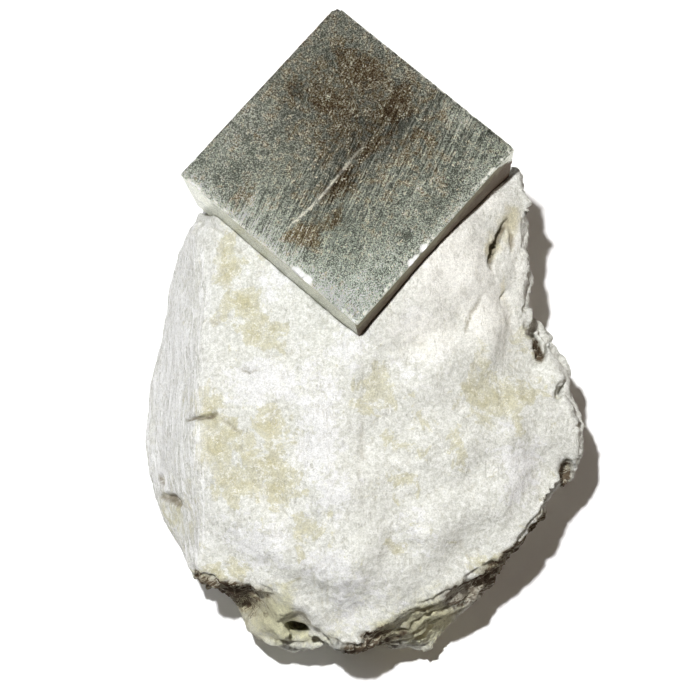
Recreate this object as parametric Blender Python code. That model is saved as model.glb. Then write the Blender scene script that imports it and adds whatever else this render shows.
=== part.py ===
"""Pyrite specimen: one sharp pyrite cube grown in a hand-sized block of pale marl.

The block lies on its flat broken underside. The cube stands in a fitted pocket at the
block's +Y end, turned by about an eighth of a turn so that one corner points along the
block. Tables are in millimetres, measured from the point of the table right under the
middle of the cube's top face. Blender's own units are metres.
"""

import math

import bmesh
import bpy
import numpy as np
from mathutils import Matrix, Vector, noise

MM = 0.001
GAP = 0.3  # between the crystal and the wall of its pocket

# The whole specimen, moved so that the origin is under the middle of its bounding box.
SPECIMEN_SHIFT = (-1.4, 19.0, 0.0)

# Crystal.
CUBE_EDGE = 32.0
CUBE_TOP = 42.0  # height of the middle of its top face
CUBE_HEADING = 228.6  # degrees from +X to the cube's local +X, seen from above
CUBE_TOP_NORMAL = (-0.054, 0.027, 0.998)
EDGE_WEAR = 0.22

# Places on the cube: local x runs to the front left side, local y to the front right side.
# Growth steps: a side's axis and sign, then the stretch that lies lower on that side's own
# two axes in turn, and how far it lies below the rest of the side.
GROWTH_STEPS = (
    ("z", 1, (14.8, 17.0), (4.0, 17.0), 0.12),
    ("z", 1, (-17.0, -15.7), (9.0, 17.0), 0.20),
    ("x", -1, (-17.0, 5.0), (-17.0, 6.5), 0.35),
    ("x", -1, (-17.0, -4.0), (-17.0, 1.0), 0.75),
    ("x", -1, (10.0, 17.0), (-17.0, 10.0), 0.30),
    ("y", -1, (0.0, 17.0), (-17.0, 7.0), 0.30),
    ("y", -1, (6.5, 17.0), (-17.0, 0.0), 0.70),
    ("x", 1, (-17.0, -7.0), (-17.0, 2.0), 0.40),
    ("y", 1, (-17.0, -9.0), (-17.0, 4.0), 0.35),
)
# Chips broken from its corners and edges: local place, radius.
CHIPS = (
    ((-16.2, -16.2, 16.3), 1.25),
    ((16.4, 16.3, 16.4), 0.75),
    ((-16.4, 15.9, 16.3), 0.9),
    ((16.3, -16.4, 16.2), 0.7),
    ((-16.3, 6.5, 16.4), 0.7),
    ((-16.4, 8.4, 16.3), 0.85),
    ((-16.5, -8.0, 16.4), 0.8),
    ((12.5, -16.5, 16.4), 0.75),
    ((-16.4, -16.2, -3.0), 0.9),
    ((-16.3, -16.4, 9.5), 0.7),
)

# Block of marl. Outlines are seen from above, anticlockwise from the right-hand side.
BLOCK_CENTRE = (1.0, -24.0)
# Where the upper face turns over into the walls, with the height there.
RIM = (
    (24.0, 5.0, 18.0), (24.1, 1.2, 32.4), (24.9, -1.2, 32.6), (25.0, -4.0, 31.4),
    (24.8, -9.4, 30.0), (25.4, -13.4, 29.5), (24.4, -16.8, 29.0), (25.8, -20.5, 27.5),
    (28.2, -24.0, 27.5), (30.6, -27.5, 28.0), (31.2, -31.5, 28.0), (33.2, -36.0, 26.5),
    (31.8, -39.6, 25.5), (29.0, -43.5, 27.0), (25.0, -47.8, 27.5), (22.2, -51.4, 27.5),
    (18.2, -54.0, 27.0), (14.8, -55.9, 27.0), (10.6, -58.5, 26.5), (7.0, -60.1, 26.3),
    (4.2, -61.5, 26.0), (2.6, -62.8, 25.2), (0.8, -64.2, 24.0), (-1.6, -63.6, 24.0),
    (-4.0, -61.0, 24.8), (-6.4, -58.6, 25.6), (-9.2, -57.2, 27.5), (-12.2, -56.2, 27.5),
    (-16.6, -55.9, 27.0), (-20.2, -54.6, 25.5), (-21.0, -49.8, 27.5), (-20.2, -44.6, 29.5),
    (-20.8, -39.0, 30.5), (-21.6, -34.4, 30.5), (-20.7, -30.6, 31.0), (-19.7, -25.0, 31.5),
    (-20.2, -18.0, 31.5), (-21.0, -13.4, 31.0), (-21.8, -9.4, 30.0), (-22.6, -5.8, 28.8),
    (-22.8, -3.2, 26.6), (-21.8, 0.2, 18.0), (-17.5, 9.5, 15.0), (-9.5, 18.0, 12.5),
    (-1.0, 24.0, 13.5), (7.5, 20.0, 16.0), (15.5, 12.5, 15.5), (22.0, 7.5, 18.5),
)
# The widest part of the walls.
BELLY = (
    (24.6, 6.0), (25.4, -1.0), (25.6, -9.0), (26.6, -14.0), (28.4, -17.6), (29.8, -21.0),
    (30.4, -26.0), (31.2, -31.0), (31.4, -37.0), (26.4, -43.8), (22.6, -48.6), (21.5, -51.8),
    (20.2, -56.0), (17.6, -59.9), (14.2, -63.0), (10.4, -64.8), (6.0, -65.3), (2.6, -65.2),
    (-0.6, -64.3), (-4.4, -63.9), (-8.2, -64.2), (-11.4, -63.6), (-13.8, -62.2), (-15.6, -58.8),
    (-18.2, -55.6), (-22.0, -53.4), (-24.6, -50.2), (-28.6, -46.4), (-30.1, -43.0),
    (-30.2, -39.6), (-30.2, -35.6), (-30.5, -29.5), (-30.2, -24.9), (-29.2, -18.6),
    (-27.9, -12.6), (-27.0, -7.0), (-26.6, -2.8), (-24.6, -0.4), (-21.6, 4.6), (-15.5, 15.0),
    (-6.5, 25.0), (-1.0, 26.6), (6.5, 24.0), (14.5, 17.0), (21.5, 11.0),
)
# The edge of the flat underside.
FOOT = (
    (22.0, 5.0), (22.5, -6.0), (21.8, -17.0), (24.6, -28.0), (25.6, -38.0), (20.0, -47.0),
    (14.5, -56.0), (8.0, -61.0), (0.0, -61.8), (-7.5, -61.5), (-14.0, -56.5),
    (-20.0, -51.5), (-25.6, -44.0), (-28.0, -36.0), (-27.6, -26.0), (-25.6, -14.0),
    (-22.0, -2.0), (-17.0, 9.5), (-9.0, 18.5), (-0.5, 22.0), (8.0, 18.0), (16.0, 11.5),
)
# Where up the wall its widest part lies: bearing in degrees, share of the rim's height.
# It is high on the front left, where the face runs down a slope to a knobbly lip.
BELLY_LEVELS = ((-135.0, 0.34), (-118.0, 0.5), (-98.0, 0.52), (-88.0, 0.45), (-72.0, 0.34))
# Spots of the upper face, with their heights.
SPOTS = (
    (1.7, -23.2, 35.4), (4.2, -20.8, 36.6), (7.2, -17.2, 37.6), (10.0, -14.0, 38.0),
    (12.8, -10.8, 37.9), (15.6, -7.8, 36.9), (18.4, -4.6, 35.6), (21.2, -1.8, 34.8),
    (23.4, 0.2, 34.2), (-0.8, -21.6, 33.5), (-4.0, -18.8, 33.2), (-7.6, -15.6, 33.1),
    (-11.2, -12.5, 33.0), (-14.8, -9.4, 33.0), (-18.2, -6.6, 33.6), (-20.2, -5.0, 33.4),
    (-21.8, -3.4, 30.6), (15.0, -14.4, 36.0), (18.0, -10.6, 34.6), (20.6, -6.6, 33.6),
    (0.8, -28.0, 35.2), (-1.0, -34.0, 34.6), (-0.6, -42.0, 34.0), (1.0, -52.0, 31.6),
    (3.2, -29.0, 33.8), (3.4, -38.0, 33.2), (-9.0, -24.0, 33.0), (-10.5, -36.0, 32.6),
    (-12.5, -47.0, 31.2), (-14.0, -20.0, 32.0), (10.5, -26.0, 34.4), (18.5, -20.5, 32.8),
    (12.5, -36.0, 32.8), (23.0, -33.0, 30.8), (11.5, -47.0, 31.4), (20.0, -44.0, 30.2),
    (28.0, -34.0, 29.0), (-7.0, -53.0, 30.0), (7.5, -55.0, 29.6), (22.0, -11.6, 31.8),
    (0.0, 0.0, 30.0), (0.0, 14.0, 16.0), (-10.0, 8.0, 18.0), (10.0, 8.0, 18.0),
)
SPOT_REACH = 3.0
SHOULDER = 0.84  # share of the way out at which the face starts to turn down to the rim
# Lumps and dents of the walls and the face: place, radius, height along the surface.
LUMPS = (
    ((29.4, -19.4, 20.0), 3.2, 0.8), ((32.2, -33.4, 21.0), 5.0, 1.0),
    ((31.2, -39.0, 21.5), 3.2, 1.3), ((-23.8, -53.8, 17.5), 4.2, 0.8),
    ((-30.8, -30.0, 11.0), 8.0, 0.6), ((-20.8, -31.2, 30.5), 4.0, 0.9),
    ((-19.2, -35.2, 31.0), 3.0, -0.9), ((29.4, -26.0, 12.0), 4.5, -1.4),
    ((26.0, -11.0, 16.0), 5.0, -0.8), ((17.5, -58.0, 16.0), 5.5, -1.8),
    ((11.0, -63.0, 12.0), 4.5, 1.3), ((3.5, -64.5, 12.0), 4.5, -1.2),
    ((-14.5, -59.0, 20.0), 4.5, -1.8), ((-12.0, -62.5, 13.0), 4.0, 1.2),
    ((-7.0, 21.0, 10.0), 6.0, 1.2), ((9.0, 19.5, 8.0), 5.5, -1.3), ((-21.0, 9.0, 10.0), 5.0, 1.0),
    ((23.0, 8.0, 13.0), 5.0, 1.0), ((16.0, 14.5, 9.0), 4.0, 0.9), ((-6.0, -63.5, 6.0), 5.0, 1.0),
)
# Bedding: thin beds that stand out from the walls as ledges. It is strong on the two
# broken ends and the right-hand wall, and faint on the smooth left-hand slope.
BED_THICKNESS = 4.4
BED_DIP = (0.06, -0.10)
BED_DEPTH = 1.5
LEFT_SLOPE = (125.0, 233.0)  # bearings between which the bedding is faint, in degrees
FAINT = 0.16
# Roughness: size of the lumps and their height, coarse to fine.
ROUGHNESS = ((15.0, 1.0), (6.5, 0.62), (3.4, 0.34))
ROUGH_FLOOR = -0.7  # roughness alone goes no deeper, so that a sharp rim doesn't fold
FACE_CALM = 0.55  # share of the roughness on the upper face

# Clefts cut into the block: points along the mouth, height of the face, width and depth.
CLEFTS = (
    (
        "cleft_spur",
        ((23.3, -4.4), (22.1, -6.9), (20.1, -9.6), (20.0, -11.6), (20.4, -14.2)),
        33.0, 1.3, 3.6,
    ),
    ("cleft_shoulder", ((23.6, -13.6), (21.9, -15.8), (20.8, -18.4)), 32.0, 1.2, 3.2),
    ("cleft_notch", ((31.6, -26.6), (30.4, -28.6), (29.2, -31.4)), 30.0, 1.7, 6.5),
    (
        "cleft_left",
        ((-24.6, -32.4), (-21.0, -32.4), (-17.8, -32.9), (-16.4, -34.9)),
        33.0, 1.3, 4.2,
    ),
)
# Rounded hollows: middle, half-sizes and turn about Z in degrees.
HOLLOWS = (
    ("hollow_end_wall", (-7.2, -61.5, 18.6), (2.2, 2.1, 6.0), 8.0),
    ("hollow_under_tip", (5.6, -65.8, 17.0), (4.4, 2.3, 3.6), -8.0),
    ("hollow_ledge", (26.9, -21.4, 25.5), (1.5, 3.2, 7.0), 20.0),
    ("hollow_left", (-27.0, -41.6, 17.0), (2.0, 1.2, 1.2), 20.0),
    ("hollow_right", (31.0, -31.0, 8.6), (4.0, 4.5, 3.0), 0.0),
    ("hollow_back", (-13.0, 17.0, 5.5), (4.0, 4.0, 3.2), 40.0),
    ("hollow_under_a", (8.0, -47.0, -1.4), (9.0, 6.0, 3.0), 25.0),
    ("hollow_under_b", (-14.0, -22.0, -1.6), (7.0, 10.0, 3.0), 15.0),
    ("hollow_under_c", (10.0, -8.0, -1.8), (6.0, 8.0, 3.0), -20.0),
)

FACE_CELLS = 38  # cells across the upper face and the underside
WALL_CELLS = 17  # cells up a wall


def material(name, colour, roughness, metallic):
    made = bpy.data.materials.new(name)
    made.use_nodes = True
    shader = made.node_tree.nodes["Principled BSDF"]
    shader.inputs["Base Color"].default_value = (*colour, 1.0)
    shader.inputs["Roughness"].default_value = roughness
    shader.inputs["Metallic"].default_value = metallic
    return made


def add_object(name, shape, colours=None):
    """Turns a bmesh in millimetres into an object of the scene, in metres."""
    bmesh.ops.recalc_face_normals(shape, faces=shape.faces)
    if shape.calc_volume(signed=True) < 0:
        bmesh.ops.reverse_faces(shape, faces=shape.faces)
    bmesh.ops.scale(shape, vec=(MM, MM, MM), verts=shape.verts)
    mesh = bpy.data.meshes.new(name)
    shape.to_mesh(mesh)
    shape.free()
    made = bpy.data.objects.new(name, mesh)
    bpy.context.scene.collection.objects.link(made)
    if colours:
        mesh.materials.append(colours)
    return made


def as_cutter(made, target, operation="DIFFERENCE"):
    made.hide_render = True
    made.display_type = "WIRE"
    cut = target.modifiers.new(made.name, "BOOLEAN")
    cut.operation = operation
    cut.solver = "EXACT"
    cut.object = made
    return made


# Crystal


def cube_frame():
    """Places the cube's own axes and middle in the specimen."""
    up = Vector(CUBE_TOP_NORMAL).normalized()
    lean = Vector((0, 0, 1)).rotation_difference(up).to_matrix()
    turn = Matrix.Rotation(math.radians(CUBE_HEADING), 3, "Z")
    axes = lean @ turn
    middle = Vector((0, 0, CUBE_TOP)) - up * (CUBE_EDGE / 2)
    return Matrix.Translation(middle) @ axes.to_4x4()


def box(low, high):
    shape = bmesh.new()
    bmesh.ops.create_cube(shape, size=1.0)
    size = Vector(high) - Vector(low)
    bmesh.ops.scale(shape, vec=size, verts=shape.verts)
    bmesh.ops.translate(shape, vec=Vector(low) + size / 2, verts=shape.verts)
    return shape


def growth_step(index, step):
    """A slab that takes a thin layer from part of one side."""
    side, sign, first, second, depth = step
    half = CUBE_EDGE / 2
    outer = sorted((sign * (half - depth), sign * (half + 2)))
    spans = {"x": (outer, first, second), "y": (first, outer, second), "z": (first, second, outer)}
    low, high = zip(*spans[side])
    return add_object(f"growth_step_{index}", box(low, high))


def chip(index, place, radius):
    """A small ragged bite from an edge or a corner."""
    shape = bmesh.new()
    bmesh.ops.create_icosphere(shape, subdivisions=1, radius=radius)
    turn = Matrix.Rotation(0.7 + 1.3 * index, 3, Vector((1, index % 3 - 1, 0.6)).normalized())
    bmesh.ops.rotate(shape, matrix=turn, verts=shape.verts)
    bmesh.ops.translate(shape, vec=place, verts=shape.verts)
    return add_object(f"chip_{index}", shape)


def make_crystal(frame, colours):
    half = CUBE_EDGE / 2
    shape = box((-half,) * 3, (half,) * 3)
    bmesh.ops.bevel(
        shape, geom=shape.edges[:], offset=EDGE_WEAR, segments=1, affect="EDGES", profile=0.5
    )
    crystal = add_object("pyrite_cube", shape, colours)
    cutters = [growth_step(i, step) for i, step in enumerate(GROWTH_STEPS)]
    cutters += [chip(i, place, radius) for i, (place, radius) in enumerate(CHIPS)]
    for cutter in cutters:
        as_cutter(cutter, crystal)
    for made in [crystal, *cutters]:
        made.matrix_world = frame
    return crystal


# Block of marl


def outline(points, column=None):
    """A function from bearings in radians to the outline's reach, or to another column."""
    table = np.array([point[:2] for point in points]) - BLOCK_CENTRE
    bearings = np.arctan2(table[:, 1], table[:, 0])
    values = np.hypot(*table.T) if column is None else np.array([p[column] for p in points])
    order = np.argsort(bearings)
    bearings, values = bearings[order], values[order]
    return lambda at: np.interp(at, bearings, values, period=2 * math.pi)


def upper_face(x, y):
    """Height of the upper face: a mean of the spots and the rim, weighted by nearness."""
    spots = np.array(SPOTS + RIM)
    apart = (np.subtract.outer(x, spots[:, 0]) ** 2 + np.subtract.outer(y, spots[:, 1]) ** 2)
    weights = 1.0 / (apart + SPOT_REACH**2) ** 2.5
    return weights @ spots[:, 2] / weights.sum(axis=-1)


def smooth_step(value, low, high):
    share = np.clip((value - low) / (high - low), 0.0, 1.0)
    return share * share * (3.0 - 2.0 * share)


def lattice_points():
    """Every lattice point on the skin of a box of cells, by its three counts."""
    return [
        (i, j, k)
        for i in range(FACE_CELLS + 1)
        for j in range(FACE_CELLS + 1)
        for k in range(WALL_CELLS + 1)
        if i in (0, FACE_CELLS) or j in (0, FACE_CELLS) or k in (0, WALL_CELLS)
    ]


def place_lattice(points):
    """Draws the box of cells out into the block: each side of a square takes a quarter turn."""
    lattice = np.array(points, float)
    across = 2 * lattice[:, 0] / FACE_CELLS - 1
    along = 2 * lattice[:, 1] / FACE_CELLS - 1
    level = lattice[:, 2] / WALL_CELLS
    reach = np.maximum(np.abs(across), np.abs(along))
    lean = math.pi / 4 / np.maximum(reach, 1 / FACE_CELLS)
    bearing = np.select(
        (across >= reach, across <= -reach, along >= reach),
        (lean * along, math.pi - lean * along, math.pi / 2 - lean * across),
        lean * across - math.pi / 2,
    )
    foot, belly, rim = (outline(table)(bearing) for table in (FOOT, BELLY, RIM))
    widest = np.interp(np.degrees(bearing), *zip(*BELLY_LEVELS))
    under = foot + (belly - foot) * np.sin(np.clip(level / widest, 0, 1) * math.pi / 2)
    over = belly + (rim - belly) * np.clip((level - widest) / (1 - widest), 0, 1)
    radius = reach * np.where(level < widest, under, over)
    x = BLOCK_CENTRE[0] + radius * np.cos(bearing)
    y = BLOCK_CENTRE[1] + radius * np.sin(bearing)
    top = upper_face(x, y)
    edge = outline(RIM, 2)(bearing)
    turned = smooth_step(reach, SHOULDER, 1.0)
    height = np.where(level == 1, top + (edge - top) * turned, edge * level)
    return np.column_stack((x, y, height))


def lattice_faces():
    """The cells' outer faces, as four lattice points each."""
    wide, tall = range(FACE_CELLS), range(WALL_CELLS)
    for i in wide:
        for j in wide:
            for k in (0, WALL_CELLS):
                yield (i, j, k), (i + 1, j, k), (i + 1, j + 1, k), (i, j + 1, k)
    for i in wide:
        for k in tall:
            for j in (0, FACE_CELLS):
                yield (i, j, k), (i + 1, j, k), (i + 1, j, k + 1), (i, j, k + 1)
                yield (j, i, k), (j, i + 1, k), (j, i + 1, k + 1), (j, i, k + 1)


def bedding(x, y, z, bearing):
    """How far the walls stand out: each bed has a sharp upper lip and fades below it."""
    depth_in_beds = (z + BED_DIP[0] * x + BED_DIP[1] * y) / BED_THICKNESS
    bed = math.floor(depth_in_beds)
    share = depth_in_beds - bed
    lip = smooth_step(share, 0.0, 0.75) - smooth_step(share, 0.85, 1.0)
    place = Vector((bed * 3.1, math.cos(bearing) * 2.4, math.sin(bearing) * 2.4))
    strength = 0.35 + 0.65 * abs(noise.noise(place) * 2)
    low, high = LEFT_SLOPE
    turn = math.degrees(bearing) % 360
    faint = smooth_step(turn, low - 12, low + 12) * (1 - smooth_step(turn, high - 12, high + 12))
    return BED_DEPTH * (lip - 0.5) * strength * (1 - faint * (1 - FAINT))


def relief(place, normal):
    """How far a point of the skin moves along its normal."""
    x, y, z = place
    bearing = math.atan2(y - BLOCK_CENTRE[1], x - BLOCK_CENTRE[0])
    steep = 1 - smooth_step(abs(normal.z), 0.35, 0.8)
    calm = FACE_CALM + (1 - FACE_CALM) * steep
    rough = sum(
        height * noise.noise(place / size + Vector((size, 0, 0))) * 2 for size, height in ROUGHNESS
    )
    moved = steep * bedding(x, y, z, bearing) + calm * max(rough, ROUGH_FLOOR)
    for centre, radius, height in LUMPS:
        apart = (place - Vector(centre)).length / radius
        moved += height * math.exp(-apart * apart * 1.6)
    return moved


def make_block(colours):
    shape = bmesh.new()
    points = lattice_points()
    corners = {
        point: shape.verts.new(place)
        for point, place in zip(points, place_lattice(points).tolist())
    }
    for face in lattice_faces():
        shape.faces.new([corners[point] for point in face])
    bmesh.ops.recalc_face_normals(shape, faces=shape.faces)
    shape.normal_update()
    moves = {vert: vert.normal * relief(vert.co, vert.normal) for vert in shape.verts}
    for (_, _, level), vert in corners.items():
        if level > 0:
            vert.co += moves[vert]
            vert.co.z = max(vert.co.z, 0.35 * level)
    underside = [face for face in shape.faces if all(v.co.z == 0 for v in face.verts)]
    bmesh.ops.dissolve_faces(shape, faces=underside, use_verts=True)
    bmesh.ops.triangulate(shape, faces=shape.faces)
    return add_object("matrix", shape, colours)


def cleft(name, mouth, top, width, depth):
    """A wedge whose edge runs along the mouth's points, sharp at the bottom and both ends."""
    shape = bmesh.new()
    path = [Vector(point) for point in mouth]
    rings = []
    for index, point in enumerate(path):
        ahead = path[min(index + 1, len(path) - 1)] - path[max(index - 1, 0)]
        side = Vector((-ahead.y, ahead.x)).normalized()
        inner = math.sin(math.pi * (index + 0.35) / (len(path) - 0.3))
        half = side * width * 0.5 * max(inner, 0.2)
        floor = top - 1.5 - depth * max(inner, 0.3)
        left, right = point + half * 1.5, point - half * 1.5
        foot_left, foot_right = point + half * 0.25, point - half * 0.25
        rings.append([
            shape.verts.new((left.x, left.y, top + 3)),
            shape.verts.new((foot_left.x, foot_left.y, floor)),
            shape.verts.new((foot_right.x, foot_right.y, floor)),
            shape.verts.new((right.x, right.y, top + 3)),
        ])
    shape.faces.new(rings[0])
    shape.faces.new(rings[-1])
    for one, two in zip(rings, rings[1:]):
        for corner in range(4):
            after = (corner + 1) % 4
            shape.faces.new((one[corner], one[after], two[after], two[corner]))
    bmesh.ops.triangulate(shape, faces=shape.faces)
    return add_object(name, shape)


def hollow(name, middle, halves, turn):
    """A rounded, slightly uneven cavity."""
    shape = bmesh.new()
    bmesh.ops.create_icosphere(shape, subdivisions=2, radius=1.0)
    for vert in shape.verts:
        vert.co *= 1.0 + 0.22 * noise.noise(vert.co * 1.7 + Vector(middle))
    bmesh.ops.scale(shape, vec=halves, verts=shape.verts)
    bmesh.ops.rotate(shape, matrix=Matrix.Rotation(math.radians(turn), 3, "Z"), verts=shape.verts)
    bmesh.ops.translate(shape, vec=middle, verts=shape.verts)
    return add_object(name, shape)


def pocket(frame):
    """The space that the crystal fills, with the gap all round it."""
    reach = CUBE_EDGE / 2 + GAP
    shape = box((-reach,) * 3, (reach, reach, reach + CUBE_EDGE))
    made = add_object("pocket", shape)
    made.matrix_world = frame
    return made


def clear_scene():
    for old in list(bpy.data.objects):
        bpy.data.objects.remove(old)


def main():
    clear_scene()
    shift = Matrix.Translation(Vector(SPECIMEN_SHIFT) * MM)
    frame = cube_frame()
    frame.translation *= MM
    pyrite = material("pyrite", (0.30, 0.28, 0.23), 0.32, 1.0)
    marl = material("marl", (0.80, 0.77, 0.68), 0.92, 0.0)
    make_crystal(frame, pyrite)
    block = make_block(marl)
    for shape in CLEFTS:
        as_cutter(cleft(*shape), block)
    for shape in HOLLOWS:
        as_cutter(hollow(*shape), block)
    as_cutter(pocket(frame), block)
    for made in bpy.data.objects:
        made.matrix_world = shift @ made.matrix_world


main()
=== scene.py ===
"""Looks of the pyrite specimen: a dull, finely pitted pyrite cube on a block of chalky marl.

Tables are in millimetres in the specimen's own frame: x to the right, y along the block
towards the cube, z up, from the point of the table right under the middle of the cube's
top face. SPECIMEN_SHIFT takes them into the row frame, as in part.py. Tables for the
crystal are in the cube's own frame: local x runs to its front left side, local y to its
front right side, z up, from its middle.
"""

import itertools
import math

import bpy
import numpy as np
from mathutils import Matrix, Vector


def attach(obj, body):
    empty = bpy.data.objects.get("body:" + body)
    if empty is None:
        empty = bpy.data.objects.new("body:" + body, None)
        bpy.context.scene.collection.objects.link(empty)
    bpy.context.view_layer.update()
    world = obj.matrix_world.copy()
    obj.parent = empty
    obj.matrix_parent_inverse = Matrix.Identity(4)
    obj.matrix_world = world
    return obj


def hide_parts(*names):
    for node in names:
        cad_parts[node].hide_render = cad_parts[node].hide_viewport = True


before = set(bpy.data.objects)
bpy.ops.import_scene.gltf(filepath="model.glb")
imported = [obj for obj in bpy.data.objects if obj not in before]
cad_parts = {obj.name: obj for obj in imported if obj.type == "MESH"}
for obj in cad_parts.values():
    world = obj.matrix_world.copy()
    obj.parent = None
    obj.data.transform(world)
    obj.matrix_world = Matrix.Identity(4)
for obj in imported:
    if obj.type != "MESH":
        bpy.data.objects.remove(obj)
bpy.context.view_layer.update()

MM = 0.001
SPECIMEN_SHIFT = np.array((-1.4, 19, 0))

# Camera: its place over the specimen, its tilt from straight down and its focal length in
# pixels of the 700-pixel frame.
CAMERA_PLACE = (0.445, -59.33, 232)
CAMERA_TILT = 10
CAMERA_FOCAL = 1464
FRAME_PIXELS = 700
SENSOR_MM = 36

# Studio: a small key light beside the camera, a weak fill from the left and a warm one from
# the right, a soft card that shows in the crystal's top face, and a dim room. The glint is
# the softer key light that glossy surfaces show.
WHITE = (1, 1, 1)
# Lamps: place, what a white surface that faces the lamp sends back, radius, tint.
LAMPS = {
    "key": ((-25, -15, 250), 1.18, 3.4, WHITE), "glint": ((-25, -15, 250), 0.29, 10, WHITE),
    "fill": ((-230, 10, 150), 0.14, 60, WHITE),
    "warm": ((230, 20, 150), 0.09, 60, (1, 0.80, 0.62)),
}
CARD_PLACE = (-60, -60, 540)
CARD_SIZE = (700, 540)
CARD_RADIANCE = 0.28
ROOM_LIGHT = 0.04
ROOM_TINT = (1, 0.84, 0.80)
FLOOR_HALF = 4000
FLOOR_CORNERS = ((-1, -1), (1, -1), (1, 1), (-1, 1))
FLOOR_DROP = 0.05  # keeps the floor clear of the block's underside
FLOOR_COLOUR = (0.97, 0.97, 0.97)

# Crystal, as in part.py.
CUBE_EDGE = 32
CUBE_HALF = CUBE_EDGE / 2
CUBE_TOP = 42
CUBE_HEADING = 228.6
CUBE_TOP_NORMAL = (-0.054, 0.027, 0.998)


def cube_frame():
    """Places the cube's own axes and middle in the row frame, in metres."""
    up = Vector(CUBE_TOP_NORMAL).normalized()
    lean = Vector((0, 0, 1)).rotation_difference(up).to_matrix()
    turn = Matrix.Rotation(math.radians(CUBE_HEADING), 3, "Z")
    middle = Vector((0, 0, CUBE_TOP)) - up * CUBE_HALF + Vector(SPECIMEN_SHIFT)
    return Matrix.Translation(middle * MM) @ (lean @ turn).to_4x4()


# Noise, worked out for many points at once

LATTICE_START = 100  # keeps every cell's number above zero
NOISE_GAIN = 1.6  # brings the noise to between about -1 and 1
CREST_SLOPE = 1.6
RIDGE_MIDDLE = 0.5


def norms(vectors):
    """The length of each vector."""
    return np.linalg.norm(vectors, axis=1)


def lattice_table(seed):
    rng = np.random.default_rng(seed)
    slopes = rng.normal(size=(256, 3))
    slopes /= norms(slopes)[:, None]
    return rng.permutation(256), slopes


def hashed(order, cell):
    """A number from 0 to 255 for each cell of space."""
    return order[(order[(order[cell[:, 0] & 255] + cell[:, 1]) & 255] + cell[:, 2]) & 255]


def noise(points, size, seed):
    """Smooth noise between about -1 and 1, with lumps of the given size."""
    order, slopes = lattice_table(seed)
    scaled = points / size + LATTICE_START
    cell = np.floor(scaled).astype(int)
    inner = scaled - cell
    fade = inner**3 * (inner * (inner * 6 - 15) + 10)
    total = np.zeros(len(points))
    for corner in itertools.product((0, 1), repeat=3):
        share = np.prod(np.where(corner, fade, 1 - fade), axis=1)
        slope = slopes[hashed(order, cell + corner)]
        total += share * np.einsum("ij,ij->i", slope, inner - corner)
    return total * NOISE_GAIN


def fractal(points, size, seed, octaves, gain=0.5):
    total = np.zeros(len(points))
    for step in range(octaves):
        total += gain**step * noise(points, size / 2**step, seed + step)
    return total


def ridged(points, size, seed, octaves):
    """Noise with sharp crests, from about -0.5 to 0.5."""
    total = np.zeros(len(points))
    for step in range(octaves):
        crest = CREST_SLOPE * np.abs(noise(points, size / 2**step, seed + step))
        total += (RIDGE_MIDDLE - crest) / 2**step
    return total


def ease(value, low, high):
    """0 up to low and 1 from high on, with a smooth rise between them."""
    share = np.clip((value - low) / (high - low), 0, 1)
    return share * share * (3 - 2 * share)


def terraced(value, step, edge):
    """The value cut into flat treads with steep risers, which take up the edge share."""
    level = np.floor(value / step)
    return step * (level + ease(value / step - level, 0.5 - edge / 2, 0.5 + edge / 2))


def dome(points, middle, radius):
    """1 at the middle, falling away smoothly to next to nothing at twice the radius."""
    return np.exp(-((norms(points - middle) / radius) ** 2))


def wandering(points, size, reach, seed):
    """The points, each pushed about by smooth noise."""
    pushes = [fractal(points, size, seed + 10 * axis, 2) for axis in range(3)]
    return points + reach * np.column_stack(pushes)


def polyline_distance(points, path):
    """Distance from each point, seen from above, to a line through the path's points, and
    how far along the line the nearest place is, from 0 to 1."""
    path = np.array(path, float)
    nearest = np.full(len(points), 1e9)
    along = np.zeros(len(points))
    lengths = norms(np.diff(path, axis=0))
    total, passed = lengths.sum(), 0
    for start, end, length in zip(path, path[1:], lengths):
        line = end - start
        share = np.clip((points[:, :2] - start) @ line / length**2, 0, 1)
        apart = norms(points[:, :2] - start - share[:, None] * line)
        closer = apart < nearest
        nearest[closer] = apart[closer]
        along[closer] = (passed + share[closer] * length) / total
        passed += length
    return nearest, along


# Meshes


def vectors(what, name):
    values = np.empty(len(what) * 3, np.float32)
    what.foreach_get(name, values)
    return values.reshape(-1, 3).astype(float)


def object_from(name, data):
    made = bpy.data.objects.new(name, data)
    bpy.context.scene.collection.objects.link(made)
    return made


def applied(made):
    """The object's mesh with its modifiers applied; the object itself goes."""
    graph = bpy.context.evaluated_depsgraph_get()
    mesh = bpy.data.meshes.new_from_object(made.evaluated_get(graph))
    bpy.data.objects.remove(made)
    return mesh


def edges_of(mesh):
    edges = np.empty(len(mesh.edges) * 2, np.int32)
    mesh.edges.foreach_get("vertices", edges)
    return edges.reshape(-1, 2)


def smoothed(points, edges, rounds, share=0.5):
    """Each point drawn towards the mean of its neighbours, several times over."""
    count = np.bincount(edges.ravel(), minlength=len(points))[:, None]
    for _ in range(rounds):
        mean = np.zeros_like(points)
        for axis in range(3):
            mean[:, axis] = np.bincount(edges[:, 0], points[edges[:, 1], axis], len(points))
            mean[:, axis] += np.bincount(edges[:, 1], points[edges[:, 0], axis], len(points))
        points = points + share * (mean / count - points)
    return points


def set_points(mesh, points):
    """Puts the points, in millimetres of the row frame, into the mesh."""
    mesh.vertices.foreach_set("co", (points * MM).astype(np.float32).ravel())
    mesh.update()


def normals_of(mesh, points):
    set_points(mesh, points)
    return vectors(mesh.vertices, "normal")


def paint(mesh, name, values):
    attribute = mesh.attributes.new(name, "FLOAT", "POINT")
    attribute.data.foreach_set("value", np.asarray(values, np.float32))


# Block of marl: relief

VOXEL = 0.33
MOST_TRIANGLES = 196000
BED_DIP = (0.06, -0.10, 1)
CONTACT = 0.02  # what is left of the gap round the crystal
POCKET_GAP = 0.3

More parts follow.
